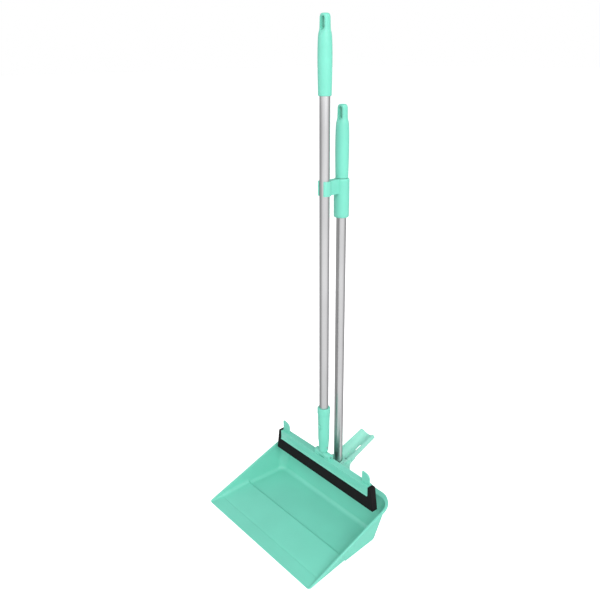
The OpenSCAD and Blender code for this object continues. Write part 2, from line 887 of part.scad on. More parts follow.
// Foam blade: thick below the clamp and past its ends, thinner inside it
module foam_blade() {
    h = blade_end_top_z - blade_bottom_z;
    top_half = blade_half - blade_taper;
    color(black)
        difference() {
            translate([0, sweeper_y + blade_t / 2, blade_bottom_z])
                rotate([90, 0, 0])
                    linear_extrude(blade_t)
                        polygon([[-blade_half, 0], [blade_half, 0], [top_half, h - 2],
                                 [top_half - 1.5, h], [-top_half + 1.5, h],
                                 [-top_half, h - 2]]);
            // Everything of the clamp but the tongue
            difference() {
                translate([-head_half - 0.2, head_front - 5, head_bottom_z])
                    cube([head_len + 0.4, head_depth + 10, 60]);
                translate([-head_half + head_wall + 0.2, tongue_y, head_bottom_z - 1])
                    cube([head_len - 2 * head_wall - 0.4, tongue_t,
                          head_h - head_wall + 0.6]);
            }
            // Screw holes through the tongue
            for (x = head_screw_x)
                translate([x, head_back, head_bottom_z + head_h / 2])
                    rotate([90, 0, 0])
                        cylinder(r = head_screw_r, h = head_depth);
        }
}

pan_shell();
pivot_pin();
pan_pole_tube();
pole_foot();
pan_grip();
clip_sleeve();
sleeve_screw();
sweeper_tube();
sweeper_grip();
sweeper_socket();
snap_button();
button_spring();
hinge_neck();
neck_pin();
head_shell();
head_back_plate();
head_screws();
hinge_pin();
foam_blade();
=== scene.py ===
"""Looks of an upright dust pan with a clipped-on foam sweeper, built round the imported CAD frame."""
import math

import bmesh
import bpy
from mathutils import Matrix, Vector


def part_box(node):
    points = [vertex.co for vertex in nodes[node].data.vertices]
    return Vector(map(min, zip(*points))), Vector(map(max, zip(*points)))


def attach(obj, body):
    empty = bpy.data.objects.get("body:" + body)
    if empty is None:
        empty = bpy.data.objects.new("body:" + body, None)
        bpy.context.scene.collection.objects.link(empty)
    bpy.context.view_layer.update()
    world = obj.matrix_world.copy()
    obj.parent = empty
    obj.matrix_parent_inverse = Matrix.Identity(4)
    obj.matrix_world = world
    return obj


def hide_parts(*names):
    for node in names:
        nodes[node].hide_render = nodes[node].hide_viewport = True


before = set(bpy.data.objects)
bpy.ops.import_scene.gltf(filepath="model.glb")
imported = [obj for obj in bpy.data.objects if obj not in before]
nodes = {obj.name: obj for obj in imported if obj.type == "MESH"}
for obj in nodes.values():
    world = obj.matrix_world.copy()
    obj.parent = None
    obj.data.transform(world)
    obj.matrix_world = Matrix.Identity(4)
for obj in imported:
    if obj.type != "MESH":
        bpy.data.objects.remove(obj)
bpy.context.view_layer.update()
MM = 0.001


# ---- materials -------------------------------------------------------------

def linear(rgb):
    """An sRGB colour from 0 to 255 as Blender's linear colour."""
    def channel(c):
        c /= 255
        return c / 12.92 if c <= 0.04045 else ((c + 0.055) / 1.055) ** 2.4
    return (*[channel(c) for c in rgb], 1.0)


class Graph:
    """A node material under construction."""

    def __init__(self, name):
        self.material = bpy.data.materials.new(name)
        self.material.use_nodes = True
        self.tree = self.material.node_tree
        self.shader = self.tree.nodes["Principled BSDF"]

    def add(self, kind, **settings):
        """A node with its settings, which are names of its inputs or of its own properties."""
        node = self.tree.nodes.new(kind)
        for key, value in settings.items():
            if key in node.inputs:
                node.inputs[key].default_value = value
            else:
                setattr(node, key, value)
        return node

    def link(self, source, target):
        self.tree.links.new(source, target)

    def noise(self, scale, detail=3.0, stretch=(1, 1, 1)):
        """Noise in the object's own metres, stretched along an axis where asked."""
        place = self.add("ShaderNodeTexCoord")
        mapping = self.add("ShaderNodeMapping")
        mapping.inputs["Scale"].default_value = stretch
        texture = self.add("ShaderNodeTexNoise", Scale=scale, Detail=detail)
        self.link(place.outputs["Object"], mapping.inputs["Vector"])
        self.link(mapping.outputs["Vector"], texture.inputs["Vector"])
        return texture.outputs["Fac"]

    def ramp(self, source, stops):
        """Colour from a 0-1 value, with stops as (place, colour)."""
        node = self.add("ShaderNodeValToRGB")
        elements = node.color_ramp.elements
        while len(elements) < len(stops):
            elements.new(0.5)
        for element, (place, colour) in zip(elements, stops):
            element.position = place
            element.color = colour
        self.link(source, node.inputs["Fac"])
        return node.outputs["Color"]

    def remap(self, source, low, high):
        """A 0-1 value spread from low to high."""
        node = self.add("ShaderNodeMapRange")
        node.inputs["To Min"].default_value = low
        node.inputs["To Max"].default_value = high
        self.link(source, node.inputs["Value"])
        return node.outputs["Result"]

    def bump(self, source, depth, strength, below=None):
        """Bump of the given depth in metres, on top of another bump."""
        node = self.add("ShaderNodeBump", Strength=strength, Distance=depth)
        self.link(source, node.inputs["Height"])
        if below is not None:
            self.link(below, node.inputs["Normal"])
        return node.outputs["Normal"]


def painted_edge_highlight(graph, colour, highlight_colour, amount):
    """Mixes a paler colour in where the surface is pointed: a painted highlight along convex edges."""
    geometry = graph.add("ShaderNodeNewGeometry")
    sharp = graph.add("ShaderNodeMapRange")
    sharp.inputs["From Min"].default_value = 0.53
    sharp.inputs["From Max"].default_value = 0.62
    sharp.inputs["To Max"].default_value = amount
    graph.link(geometry.outputs["Pointiness"], sharp.inputs["Value"])
    mix = graph.add("ShaderNodeMix", data_type="RGBA")
    mix.inputs["B"].default_value = highlight_colour
    graph.link(sharp.outputs["Result"], mix.inputs["Factor"])
    graph.link(colour, mix.inputs["A"])
    return mix.outputs["Result"]


def moulded_plastic(name, rgb):
    """Satin moulded plastic: faint clouding in the colour, fine grain and slight sink waviness."""
    graph = Graph(name)
    clouds = graph.noise(9.0, 2.0)
    base = linear(rgb)
    dark = tuple(c * 0.94 for c in base[:3]) + (1.0,)
    colour = graph.ramp(clouds, [(0.35, dark), (0.65, base)])
    # The pale colour lightens pointed edges: a painted highlight along the convex edges
    pale = tuple(c + (1 - c) * 0.35 for c in base[:3]) + (1.0,)
    graph.link(painted_edge_highlight(graph, colour, pale, 0.35), graph.shader.inputs["Base Color"])
    smudges = graph.noise(38.0, 5.0)
    graph.link(graph.remap(smudges, 0.36, 0.52), graph.shader.inputs["Roughness"])
    waves = graph.bump(graph.noise(60.0, 1.0), 0.00012, 0.5)
    fine = graph.bump(graph.noise(2600.0, 2.0), 0.00002, 0.35, waves)
    graph.link(fine, graph.shader.inputs["Normal"])
    graph.shader.inputs["IOR"].default_value = 1.49
    graph.shader.inputs["Subsurface Weight"].default_value = 0.12
    graph.shader.inputs["Subsurface Radius"].default_value = (0.5, 1.0, 0.8)
    graph.shader.inputs["Subsurface Scale"].default_value = 0.002
    return graph.material


def drawn_aluminium():
    """Satin anodised tube: fine draw lines along its length and faint cloudy stains."""
    graph = Graph("anodised_aluminium")
    streaks = graph.noise(900.0, 4.0, (1, 1, 0.012))
    clouds = graph.noise(14.0, 3.0, (1, 1, 0.4))
    colour = graph.ramp(clouds, [(0.3, linear((190, 190, 191))), (0.7, linear((206, 206, 207)))])
    graph.link(colour, graph.shader.inputs["Base Color"])
    graph.shader.inputs["Metallic"].default_value = 1.0
    graph.link(graph.remap(streaks, 0.26, 0.42), graph.shader.inputs["Roughness"])
    graph.link(graph.bump(streaks, 0.00002, 0.4), graph.shader.inputs["Normal"])
    return graph.material


def zinc_steel():
    """Zinc-plated steel with small blotches."""
    graph = Graph("zinc_plated_steel")
    blotches = graph.noise(700.0, 4.0)
    colour = graph.ramp(blotches, [(0.3, linear((150, 152, 156))), (0.7, linear((196, 197, 200)))])
    graph.link(colour, graph.shader.inputs["Base Color"])
    graph.shader.inputs["Metallic"].default_value = 1.0
    graph.link(graph.remap(blotches, 0.25, 0.5), graph.shader.inputs["Roughness"])
    graph.link(graph.bump(blotches, 0.00003, 0.4), graph.shader.inputs["Normal"])
    return graph.material


def closed_cell_foam():
    """Black closed-cell foam: dense pores, a few larger pits and dust-grey variation."""
    graph = Graph("black_foam")
    clouds = graph.noise(30.0, 4.0)
    colour = graph.ramp(clouds, [(0.3, linear((10, 7, 9))), (0.75, linear((17, 13, 16)))])
    graph.link(colour, graph.shader.inputs["Base Color"])
    place = graph.add("ShaderNodeTexCoord")
    cells = graph.add("ShaderNodeTexVoronoi", Scale=1300.0)
    graph.link(place.outputs["Object"], cells.inputs["Vector"])
    pores = graph.bump(cells.outputs["Distance"], 0.00025, 0.5)
    pits = graph.bump(graph.noise(420.0, 4.0), 0.0004, 0.35, pores)
    graph.link(pits, graph.shader.inputs["Normal"])
    graph.link(graph.remap(clouds, 0.75, 0.95), graph.shader.inputs["Roughness"])
    graph.shader.inputs["Specular IOR Level"].default_value = 0.25
    return graph.material


MINT = moulded_plastic("mint_moulded_plastic", (114, 203, 182))
ALUMINIUM = drawn_aluminium()
STEEL = zinc_steel()
FOAM = closed_cell_foam()


# ---- helpers for shapes, in millimetres ------------------------------------

def box_mm(node):
    """A CAD node's lowest and highest corners, in millimetres."""
    low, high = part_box(node)
    return low / MM, high / MM


def new_piece(name, verts, faces, material):
    """A mesh piece from points in millimetres."""
    mesh = bpy.data.meshes.new(name)
    mesh.from_pydata([Vector(v) * MM for v in verts], [], faces)
    piece = bpy.data.objects.new(name, mesh)
    bpy.context.scene.collection.objects.link(piece)
    piece.data.materials.append(material)
    work = bmesh.new()
    work.from_mesh(mesh)
    bmesh.ops.remove_doubles(work, verts=work.verts, dist=1e-6)
    bmesh.ops.recalc_face_normals(work, faces=work.faces)
    work.to_mesh(mesh)
    work.free()
    return piece


def turned(name, profile, material, segments=96):
    """A turned solid about +Z from [radius, z] points; both ends of the profile are on the axis."""
    verts, faces = [], []
    rings = []
    for r, z in profile:
        if r < 1e-6:
            verts.append((0, 0, z))
            rings.append([len(verts) - 1])
            continue
        start = len(verts)
        for i in range(segments):
            turn = 2 * math.pi * i / segments
            verts.append((r * math.cos(turn), r * math.sin(turn), z))
        rings.append(list(range(start, start + segments)))
    for a, b in zip(rings, rings[1:]):
        for i in range(segments):
            j = (i + 1) % segments
            corners = [a[i % len(a)], a[j % len(a)], b[j % len(b)], b[i % len(b)]]
            faces.append(list(dict.fromkeys(corners)))
    return new_piece(name, verts, faces, material)


def prism(name, outline, low, high, material, place=None):
    """An outline of [u, v] points extruded from low to high along w, then placed by a function."""
    place = place or (lambda u, v, w: (u, v, w))
    count = len(outline)
    verts = [place(u, v, low) for u, v in outline] + [place(u, v, high) for u, v in outline]
    faces = [list(range(count)), list(range(count, 2 * count))]
    faces += [[i, (i + 1) % count, (i + 1) % count + count, i + count] for i in range(count)]
    return new_piece(name, verts, faces, material)


def arc(cx, cy, r, start, stop, steps):
    """Points along an arc, in degrees, with both ends."""
    angles = [math.radians(start + (stop - start) * i / steps) for i in range(steps + 1)]
    return [(cx + r * math.cos(a), cy + r * math.sin(a)) for a in angles]


def slot_outline(x, y, reach, r, steps):
    """A slot's outline with round ends; reach is half the distance between their centres."""
    return arc(x, y + reach, r, 0, 180, steps) + arc(x, y - reach, r, 180, 360, steps)


def rounded(outline, radii, steps):
    """An outline of straight sides with its corners rounded, each by its own radius."""
    count = len(outline)
    points = []
    for i, corner in enumerate(outline):
        here, r = Vector(corner), radii[i]
        before = (Vector(outline[i - 1]) - here).normalized()
        after = (Vector(outline[(i + 1) % count]) - here).normalized()
        half = before.angle(after) / 2
        if r <= 0 or half > math.radians(89):
            points.append(tuple(here))
            continue
        reach = r / math.tan(half)
        centre = here + (before + after).normalized() * r / math.sin(half)
        start = (here + before * reach - centre).normalized()
        stop = (here + after * reach - centre).normalized()
        for k in range(steps + 1):
            points.append(tuple(centre + start.slerp(stop, k / steps).normalized() * r))
    return points


def apply_modifiers(piece):
    """Turns a piece's modifiers into its mesh."""
    graph = bpy.context.evaluated_depsgraph_get()
    mesh = bpy.data.meshes.new_from_object(piece.evaluated_get(graph))
    piece.modifiers.clear()
    piece.data = mesh


def combine(piece, others, operation):
    """Joins other pieces to this one, or cuts them out of it, and removes them."""
    for other in others:
        step = piece.modifiers.new("combine", "BOOLEAN")
        step.operation = operation
        step.solver = "EXACT"
        step.object = other
        apply_modifiers(piece)
        bpy.data.objects.remove(other)


def shade_smooth(piece):
    """Smooth shading on every face."""
    for polygon in piece.data.polygons:
        polygon.use_smooth = True


def keep_flats_flat(piece):
    """Weighs the shading by face area, so that broad faces stay flat."""
    normals = piece.modifiers.new("normals", "WEIGHTED_NORMAL")
    normals.keep_sharp = True


def soften(piece, width, segments=3, angle=32):
    """Rounds a piece's sharp edges by width millimetres, and shades it smooth."""
    shade_smooth(piece)
    weld = piece.modifiers.new("weld", "WELD")
    weld.merge_threshold = 2e-6
    bevel = piece.modifiers.new("bevel", "BEVEL")
    bevel.width = width * MM
    bevel.segments = segments
    bevel.limit_method = "ANGLE"
    bevel.angle_limit = math.radians(angle)
    bevel.miter_outer = "MITER_ARC"
    keep_flats_flat(piece)
    return piece


def dress(node, material, width):
    """Gives a CAD node its material and softens its edges."""
    piece = nodes[node]
    piece.data.materials.clear()
    piece.data.materials.append(material)
    soften(piece, width, 2)


# ---- camera, light and floor -----------------------------------------------

def look(azimuth, pitch, roll, place, lens):
    """A camera at place, turned by azimuth about +Z, down by pitch and rolled."""
    a, t, r = (math.radians(v) for v in (azimuth, pitch, roll))
    forward = Vector((-math.sin(a) * math.cos(t), math.cos(a) * math.cos(t), -math.sin(t)))
    level = Vector((math.cos(a), math.sin(a), 0))
    down = forward.cross(level)
    right = math.cos(r) * level + math.sin(r) * down
    down = -math.sin(r) * level + math.cos(r) * down
    camera = bpy.data.objects.new("camera", bpy.data.cameras.new("camera"))
    camera.data.lens = lens
    camera.data.sensor_width = 36
    turn = Matrix((right, -down, -forward)).transposed()
    camera.matrix_world = Matrix.Translation(place) @ turn.to_4x4()
    bpy.context.scene.collection.objects.link(camera)
    bpy.context.scene.camera = camera


def soft_box(name, place, target, size, power):
    """An area light at place that faces target."""
    light = bpy.data.lights.new(name, "AREA")
    light.shape = "RECTANGLE"
    light.size, light.size_y = size
    light.energy = power
    lamp = bpy.data.objects.new(name, light)
    lamp.location = place
    lamp.rotation_euler = (Vector(target) - Vector(place)).to_track_quat("-Z", "Y").to_euler()
    bpy.context.scene.collection.objects.link(lamp)


# The sky's bright side, how far the light spreads and its two strengths
SKY_TOWARDS = (0.85, -0.53, 0.0)
SKY_EDGE = (-0.1, 0.7)
SKY_LIGHT = (0.46, 1.22)
# A white glow that only the camera sees, on top of the lit floor
FLOOR_GLOW = 0.5
# Name, place, size and power of each soft box
SOFT_BOXES = [("key", (2.4, -0.9, 2.5), (2.4, 2.4), 68),
              ("fill", (-1.4, -2.4, 2.0), (1.6, 1.6), 20),
              ("back", (0.6, 2.4, 2.2), (1.6, 1.2), 8)]
LIGHTS_AIM = (0, 0, 0.35)
FLOOR_REACH = 40


def studio():
    """A pale floor that runs off to white, a soft sky that is brighter to the right, and soft boxes."""
    floor = bpy.data.objects.new("floor", bpy.data.meshes.new("floor"))
    corners = [(-FLOOR_REACH, -FLOOR_REACH, 0), (FLOOR_REACH, -FLOOR_REACH, 0),
               (FLOOR_REACH, FLOOR_REACH, 0), (-FLOOR_REACH, FLOOR_REACH, 0)]
    floor.data.from_pydata(corners, [], [(0, 1, 2, 3)])
    graph = Graph("pale_floor")
    speckle = graph.noise(40.0, 3.0)
    graph.link(graph.ramp(speckle, [(0.3, (0.88, 0.88, 0.88, 1)), (0.7, (0.92, 0.92, 0.92, 1))]),
               graph.shader.inputs["Base Color"])
    graph.link(graph.remap(speckle, 0.7, 0.85), graph.shader.inputs["Roughness"])
    graph.shader.inputs["Specular IOR Level"].default_value = 0.1
    # The seen floor is the lit floor plus a white glow
    add = graph.add("ShaderNodeAddShader")
    glow = graph.add("ShaderNodeEmission", Strength=FLOOR_GLOW)
    graph.link(graph.shader.outputs[0], add.inputs[0])
    graph.link(glow.outputs[0], add.inputs[1])
    path = graph.add("ShaderNodeLightPath")
    mix = graph.add("ShaderNodeMixShader")
    graph.link(path.outputs["Is Camera Ray"], mix.inputs[0])
    graph.link(graph.shader.outputs[0], mix.inputs[1])
    graph.link(add.outputs[0], mix.inputs[2])
    graph.link(mix.outputs[0], graph.tree.nodes["Material Output"].inputs["Surface"])
    floor.data.materials.append(graph.material)
    floor.visible_glossy = False
    bpy.context.scene.collection.objects.link(floor)

    world = bpy.data.worlds.new("studio")
    world.use_nodes = True
    tree = world.node_tree
    sky = tree.nodes["Background"]
    sky.inputs["Color"].default_value = (1, 1, 1, 1)
    place = tree.nodes.new("ShaderNodeTexCoord")
    side = tree.nodes.new("ShaderNodeVectorMath")
    side.operation = "DOT_PRODUCT"
    side.inputs[1].default_value = SKY_TOWARDS
    tree.links.new(place.outputs["Generated"], side.inputs[0])
    spread = tree.nodes.new("ShaderNodeMapRange")
    spread.interpolation_type = "SMOOTHSTEP"
    spread.inputs["From Min"].default_value = SKY_EDGE[0]
    spread.inputs["From Max"].default_value = SKY_EDGE[1]
    spread.inputs["To Min"].default_value = SKY_LIGHT[0]
    spread.inputs["To Max"].default_value = SKY_LIGHT[1]
    tree.links.new(side.outputs["Value"], spread.inputs["Value"])
    tree.links.new(spread.outputs["Result"], sky.inputs["Strength"])
    # The camera sees plain white, and the light comes from the sky's gradient
    white = tree.nodes.new("ShaderNodeBackground")
    white.inputs["Color"].default_value = (1, 1, 1, 1)
    path = tree.nodes.new("ShaderNodeLightPath")
    mix = tree.nodes.new("ShaderNodeMixShader")
    tree.links.new(path.outputs["Is Camera Ray"], mix.inputs[0])
    tree.links.new(sky.outputs[0], mix.inputs[1])
    tree.links.new(white.outputs[0], mix.inputs[2])
    tree.links.new(mix.outputs[0], tree.nodes["World Output"].inputs["Surface"])
    bpy.context.scene.world = world
    for name, place, size, power in SOFT_BOXES:
        soft_box(name, place, LIGHTS_AIM, size, power)
    bpy.context.scene.view_settings.view_transform = "Standard"


look(azimuth=49.479, pitch=21.459, roll=0.684, place=(0.96737, -0.85161, 1.07773), lens=37.62)
studio()


# ---- pan -------------------------------------------------------------------

# Lip and back of the floor, and the rim's plane, which rises from the lip
LIP_Y, BIN_BACK = -174.0, 59.0
RIM_START, RIM_ANGLE = 2.3, math.radians(19)
# Half widths at the wall's top and the rim's edge, and the wall's thickness
WALL_HALF, RIM_HALF, WALL = 192.0, 193.5, 2.6
# Distances up the rim's plane to the back wall's top and the flange's edge
WALL_V, FLANGE_V = 274.2, 285.2
SIDE_LEAN = math.tan(math.radians(8.8))
# Radii of the floor's fillet, and of the back corners at the floor, the wall's top and the flange
FLOOR_R, BIN_R, TOP_R, FLANGE_R = 9.0, 24.0, 28.0, 38.0
# Depth and thickness of the skirt, and the flange's thickness
SKIRT, SKIRT_T, FLANGE_T = 6.5, 1.8, 3.0
# Roundings of the lip's corners, the rim's edge and the base's edge
LIP_CORNER_R, RIM_ROUND, BASE_ROUND = 6.0, 0.9, 1.4
# The floor's top and the underside, as [distance from the lip, height]
FLOOR_TOP = [(0, 0.8), (0.5, 1.1), (33.8, 2.84), (34.6, 2.0), (35.4, 2.0), (36.2, 2.94),
             (111, 7.95), (114, 8.12), (115.2, 8.15), (116.4, 7.95), (117.6, 7.1), (120, 3.6),
             (121.2, 2.8), (122.6, 2.6), (300, 2.6)]
UNDERSIDE = [(0, 0), (21, 0), (35, 0.4), (113.5, 5.6), (118.6, 0), (300, 0)]
# Where sections are taken along the side, as distances from the lip
SIDE_STATIONS = [0, 0.5, 1.5, 3, 4.5, 6, 13, 21, 28, 33.8, 34.6, 35.4, 36.2, 44, 56, 68, 80, 92, 104,
                 111, 113.5, 115.2, 116.4, 117.6, 118.6, 120, 121.2, 122.6, 126]
BIN_STATIONS, CORNER_STATIONS = 9, 14


def along(profile, place):
    """A profile's height at a place along it."""
    for (a, low), (b, high) in zip(profile, profile[1:]):
        if place <= b:
            return low + (high - low) * (place - a) / (b - a)
    return profile[-1][1]


def on_rim(u, v, w):
    """A point in the rim's plane: across, up the slope from the lip, and square to it."""
    return Vector((u, LIP_Y + v * math.cos(RIM_ANGLE) - w * math.sin(RIM_ANGLE),
                   RIM_START + v * math.sin(RIM_ANGLE) + w * math.cos(RIM_ANGLE)))


def side_at_base(y):
    """Half of the pan's outer width at its base."""
    return WALL_HALF - SIDE_LEAN * (RIM_START + (y - LIP_Y) * math.tan(RIM_ANGLE))


def pan_stations():
    """Round the left half of the pan: base point, top of the wall and rim's edge in the rim's
    plane as (u, v), and the direction into the pan."""
    stations = []
    corner_base = BIN_BACK - BIN_R - LIP_Y
    corner_top = WALL_V - TOP_R
    # In the bin the sections lean back, step by step, to meet the corner's first one
    start = SIDE_STATIONS[-1]
    bin_run = corner_base - start
    far = [start + bin_run * i / BIN_STATIONS for i in range(1, BIN_STATIONS)]
    for d in SIDE_STATIONS + far:
        share = max(0.0, (d - start) / bin_run)
        top_v = d / math.cos(RIM_ANGLE) * (1 - share) + corner_top * share
        cut = 0
        if d < LIP_CORNER_R:
            cut = LIP_CORNER_R - math.sqrt(LIP_CORNER_R ** 2 - (LIP_CORNER_R - d) ** 2)
        base = Vector((-side_at_base(LIP_Y + d) + cut, LIP_Y + d, 0))
        edge_v = top_v * (1 - share) + (FLANGE_V - FLANGE_R) * share
        stations.append((d, base, (-WALL_HALF + cut, top_v), (-RIM_HALF + cut, edge_v),
                         Vector((1, 0, 0))))
    for i in range(CORNER_STATIONS + 1):
        turn = math.pi / 2 * i / CORNER_STATIONS
        c, s = math.cos(turn), math.sin(turn)
        y = BIN_BACK - BIN_R
        base = Vector((-(side_at_base(y) - BIN_R) - BIN_R * c, y + BIN_R * s, 0))
        top = (-(WALL_HALF - TOP_R) - TOP_R * c, corner_top + TOP_R * s)
        edge = (-(RIM_HALF - FLANGE_R) - FLANGE_R * c, FLANGE_V - FLANGE_R + FLANGE_R * s)
        stations.append((base.y - LIP_Y, base, top, edge, Vector((c, -s, 0))))
    return stations


def pan_levels(d, base, top, edge, inward):
    """The pan's section at one station, from the floor over the rim to the base."""
    peak = on_rim(*top, 0)
    outward = Vector(edge) - Vector(top)
    gap = outward.length
    floor_z, under_z = along(FLOOR_TOP, d), along(UNDERSIDE, d)
    height = peak.z

    def wall_at(z):
        return base.lerp(peak, max(0.0, min(1.0, z / height)))

    def wall_down(w):
        """The outer wall at a depth w below the rim's plane."""
        depth = height * math.cos(RIM_ANGLE) + (peak.y - base.y) * math.sin(RIM_ANGLE)
        return peak.lerp(base, min(1.0, w / depth))

    room = height - floor_z
    fillet = min(FLOOR_R, 0.55 * room)
    levels = []
    # Fillet between floor and wall
    for k in range(6):
        turn = math.pi / 2 * k / 5
        z = floor_z + fillet * (1 - math.cos(turn))
        inset = WALL + fillet * (1 - math.sin(turn))
        levels.append(wall_at(z) + inward * inset)
    # Inner edge of the rim
    lip = min(0.5, 0.2 * room)
    levels.append(wall_down(lip) + inward * WALL)
    levels.append(on_rim(*top, 0) + inward * (WALL - lip))
    skirt = min(SKIRT, 0.5 * height)
    round_r = min(RIM_ROUND, 0.4 * skirt)
    unit = outward.normalized() if gap > 1e-6 else Vector((-1, 0))

    def from_edge(inset, w):
        return on_rim(edge[0] - unit.x * inset, edge[1] - unit.y * inset, w)

    # Rolled outer edge, then the skirt
    for k in range(4):
        turn = math.pi / 2 * k / 3
        levels.append(from_edge(round_r * (1 - math.sin(turn)), -round_r * (1 - math.cos(turn))))
    levels.append(from_edge(0, -skirt + 0.2 * round_r))
    levels.append(from_edge(0.2 * round_r, -skirt))
    # At the sides the skirt runs into the wall; at the back it hangs free under the flange
    open_share = max(0.0, min(1.0, (gap - 3) / 3))
    levels.append(wall_down(skirt).lerp(from_edge(SKIRT_T, -skirt), open_share))
    ledge = skirt * (1 - open_share) + min(FLANGE_T, skirt) * open_share
    levels.append(wall_down(ledge + 0.1).lerp(from_edge(SKIRT_T, -ledge), open_share))
    levels.append(wall_down(ledge + 0.2 + 0.6 * open_share))
    # Rounded edge at the base
    foot = min(BASE_ROUND, 0.25 * height)
    levels.append(wall_at(under_z + foot))
    levels.append(wall_at(under_z) + Vector((0, 0, foot * 0.25)) + inward * 0.3 * foot)
    level_base = wall_at(under_z) + inward * foot
    level_base.z = under_z
    levels.append(level_base)
    return levels


def pan_tub():
    """The pan's tub: one closed shell with filleted floor, rolled rim and hooked back flange."""
    columns = [pan_levels(*station) for station in pan_stations()]
    count, deep = len(columns), len(columns[0])
    verts = [p for column in columns for p in column]
    verts += [Vector((-p.x, p.y, p.z)) for p in verts]

    def at(side, i, k):
        return side * count * deep + i * deep + k

    faces = []
    for side in (0, 1):
        for i in range(count - 1):
            for k in range(deep - 1):
                faces.append([at(side, i, k), at(side, i + 1, k),
                              at(side, i + 1, k + 1), at(side, i, k + 1)])
        faces.append([at(side, 0, k) for k in range(deep)])
    for i in range(count - 1):
        for k in (0, deep - 1):
            faces.append([at(0, i, k), at(1, i, k), at(1, i + 1, k), at(0, i + 1, k)])
    last = count - 1
    for k in range(deep - 1):
        faces.append([at(0, last, k), at(1, last, k), at(1, last, k + 1), at(0, last, k + 1)])
    faces.append([at(0, 0, 0), at(1, 0, 0), at(1, 0, deep - 1), at(0, 0, deep - 1)])
    return new_piece("pan_tub", verts, faces, MINT)


# ---- pole tray -------------------------------------------------------------

# The pivot, and the tray that rises behind it: half width, length and underside
POLE_Y, PIVOT_Z, TRAY_ANGLE = 97.657, 97.5, math.radians(21.5)
TRAY_HALF, TRAY_LEN, TRAY_BOTTOM = 21.5, 117.7, -14.1
# The tray's top above the leaned pole's axis, at its root and its end, and the end's rounding
TRAY_TOP_ROOT, TRAY_TOP_END, TIP_R = 7.5, 1.2, 5
# The trough for the leaned pole, and the narrower channel that leads to it
TROUGH_R, TROUGH_AXIS, TROUGH_START, CHANNEL_R = 18.8, 7.5, 14.0, 11.6
# The well round the pole's foot, and the room above it in which the pole leans
WELL_R, WELL_HALF, WELL_FRONT, WELL_TOP = 13.64, 12.3, -11.9, 45
# How far back the top of the pan's back wall is, and how far the root reaches along the tray
WALL_TOP_Y, ROOT_REACH = 85.26, 26
# The slot: its place across and along, half of the distance between its round ends, its radius
SLOT_X, SLOT_T, SLOT_REACH, SLOT_R = 7, 69, 7, 4.5
# The flares' radius, how far they bite into what is beside them, and their skirt's thickness
FLARE_R, FLARE_BITE, FLARE_WALL = 38.0, 0.4, 2.2
# The pivot pin's blind hole, its head's recess, and where the hole ends
PIN_R, PIN_HEAD_R, PIN_HEAD_T, PIN_REACH = 2.5, 4.6, 2.4, 18.3
# Longer than anything that a cutter goes through
THROUGH = 40


def in_tray(x, t, w):
    """A point in the tray's frame: across, along the leaned pole from the pivot, and square to it."""
    c, s = math.cos(TRAY_ANGLE), math.sin(TRAY_ANGLE)
    return (x, POLE_Y + t * c - w * s, PIVOT_Z + t * s + w * c)


def across(name, outline, half, framed=False):
    """A prism across the pan from [y, z] about the pivot, or from [t, w] in the tray's frame."""
    if framed:
        return prism(name, outline, -half, half, MINT, lambda t, w, x: in_tray(x, t, w))
    return prism(name, outline, -half, half, MINT, lambda y, z, x: (x, POLE_Y + y, PIVOT_Z + z))


def well_cutters():
    """Room for the pole at every lean; its lower side lies just under the trough's edges."""
    ledge = math.sqrt(TROUGH_R ** 2 - WELL_HALF ** 2) - TROUGH_AXIS - 0.5
    c, s = math.cos(TRAY_ANGLE), math.sin(TRAY_ANGLE)
    low = (ledge * s, -ledge * c)
    reach = TROUGH_START + 2.5
    high = (low[0] + reach * c, low[1] + reach * s)
    well = across("well", arc(0, 0, WELL_R, 0, 354.375, 63), WELL_HALF)
    room = across("room", [(WELL_FRONT, -2), (WELL_FRONT, WELL_TOP), (WELL_TOP, WELL_TOP), high, low],
                  WELL_HALF)
    return [well, room]


def along_tray(x, w, t):
    """The tray's frame again, for an outline across the tray that is extruded along it."""
    return in_tray(x, t, w)


def tray_root():
    """Cheeks and floor that hold the pivot against the back wall."""
    back = (ROOT_REACH * math.cos(TRAY_ANGLE), ROOT_REACH * math.sin(TRAY_ANGLE))
    under = (-TRAY_BOTTOM * math.sin(TRAY_ANGLE), TRAY_BOTTOM * math.cos(TRAY_ANGLE))
    front = WALL_TOP_Y - POLE_Y
    outline = [(front - 6, -26), (front - 1.4, -8), (front - 0.6, 3), (front + 3, 6.6), (-3, 7.5),
               (back[0] - 3, back[1] + 7.0), (back[0] + under[0] + 12, back[1] + under[1] + 4.4),
               (4, -WELL_R - 2.8), (-8, -WELL_R - 5.8)]
    return across("root", outline, TRAY_HALF - 0.3)


def flares():
    """Concave plates that carry the flange and its skirt into the tray's sides."""
    centre = (TRAY_HALF + FLARE_R - FLARE_BITE, FLANGE_V + FLARE_R - FLARE_BITE)
    inside = TRAY_HALF - 9
    plates = []
    for side in (-1, 1):
        curve = arc(centre[0], centre[1], FLARE_R, 270, 180, 24)
        inner = arc(centre[0], centre[1], FLARE_R + FLARE_WALL, 180, 270, 24)
        top = [(inside, FLANGE_V - 2), (centre[0], FLANGE_V - 2)] + curve + [(inside, centre[1])]
        plates.append(prism("flare", [(side * u, v) for u, v in top], -FLANGE_T, 0, MINT, on_rim))
        plates.append(prism("flare_skirt", [(side * u, v) for u, v in curve + inner], -SKIRT - 3,
                            -FLARE_BITE, MINT, on_rim))
    return plates


def pin_cutters():
    """The pivot pin's hole, and the recess for its head in the left cheek."""
    half = 30
    pin = across("pin", arc(0, 0, PIN_R, 0, 348.75, 31), half)
    head = across("head", arc(0, 0, PIN_HEAD_R, 0, 348.75, 31), PIN_HEAD_T)
    for v in head.data.vertices:
        v.co.x -= TRAY_HALF * MM
    for v in pin.data.vertices:
        v.co.x -= (half - PIN_REACH) * MM
    return [pin, head]


